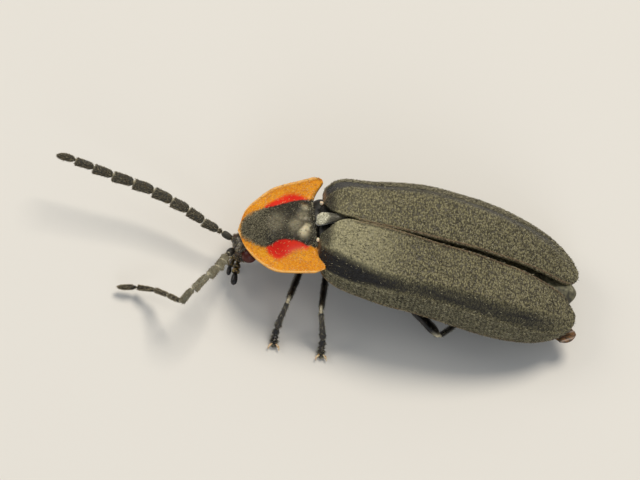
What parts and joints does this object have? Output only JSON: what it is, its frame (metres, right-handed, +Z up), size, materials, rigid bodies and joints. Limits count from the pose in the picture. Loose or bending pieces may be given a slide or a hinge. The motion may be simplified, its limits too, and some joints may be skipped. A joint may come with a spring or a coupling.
{
  "type": "firefly",
  "caption": "Black firefly at life size, standing, with a half-round black and orange neck shield, long dark wing cases and flat jointed antennae.",
  "frame": {"origin": "middle of the whole model's outline at floor level, between the feet and under the front third of the wing cases", "axes": "+X to the firefly's left side, +Y towards its tail (its head faces -Y), +Z up"},
  "size_m": [0.0072, 0.02, 0.004],
  "materials": {
    "black_chitin": "semi-gloss black-brown chitin with fine short hairs",
    "wing_case_chitin": "matte dark grey-brown leathery chitin with fine short pale hairs",
    "orange_chitin": "satin orange chitin with a black disc and two red patches",
    "antenna_chitin": "matte hairy black-brown chitin with pale joints",
    "eye_lens": "glossy dark red-brown compound eye",
    "grey_chitin": "satin silvery grey chitin"
  },
  "bodies": {
    "root": {"pronotum": "orange_chitin", "prothorax": "black_chitin", "mesothorax": "black_chitin", "metathorax": "black_chitin", "abdomen": "black_chitin", "head": "black_chitin", "scutellum": "grey_chitin", "elytron_left": "wing_case_chitin", "eye_left": "eye_lens", "palp_left": "black_chitin", "antenna_left_base": "antenna_chitin", "antenna_left_middle": "antenna_chitin", "antenna_left_tip": "antenna_chitin", "femur_fore_left": "black_chitin", "tibia_fore_left": "black_chitin", "tarsus_fore_left": "black_chitin", "femur_mid_left": "black_chitin", "tibia_mid_left": "black_chitin", "tarsus_mid_left": "black_chitin", "femur_hind_left": "black_chitin", "tibia_hind_left": "black_chitin", "tarsus_hind_left": "black_chitin", "elytron_right": "wing_case_chitin", "eye_right": "eye_lens", "palp_right": "black_chitin", "antenna_right_base": "antenna_chitin", "antenna_right_middle": "antenna_chitin", "antenna_right_tip": "antenna_chitin", "femur_fore_right": "black_chitin", "tibia_fore_right": "black_chitin", "tarsus_fore_right": "black_chitin", "femur_mid_right": "black_chitin", "tibia_mid_right": "black_chitin", "tarsus_mid_right": "black_chitin", "femur_hind_right": "black_chitin", "tibia_hind_right": "black_chitin", "tarsus_hind_right": "black_chitin"}
  },
  "joints": []
}
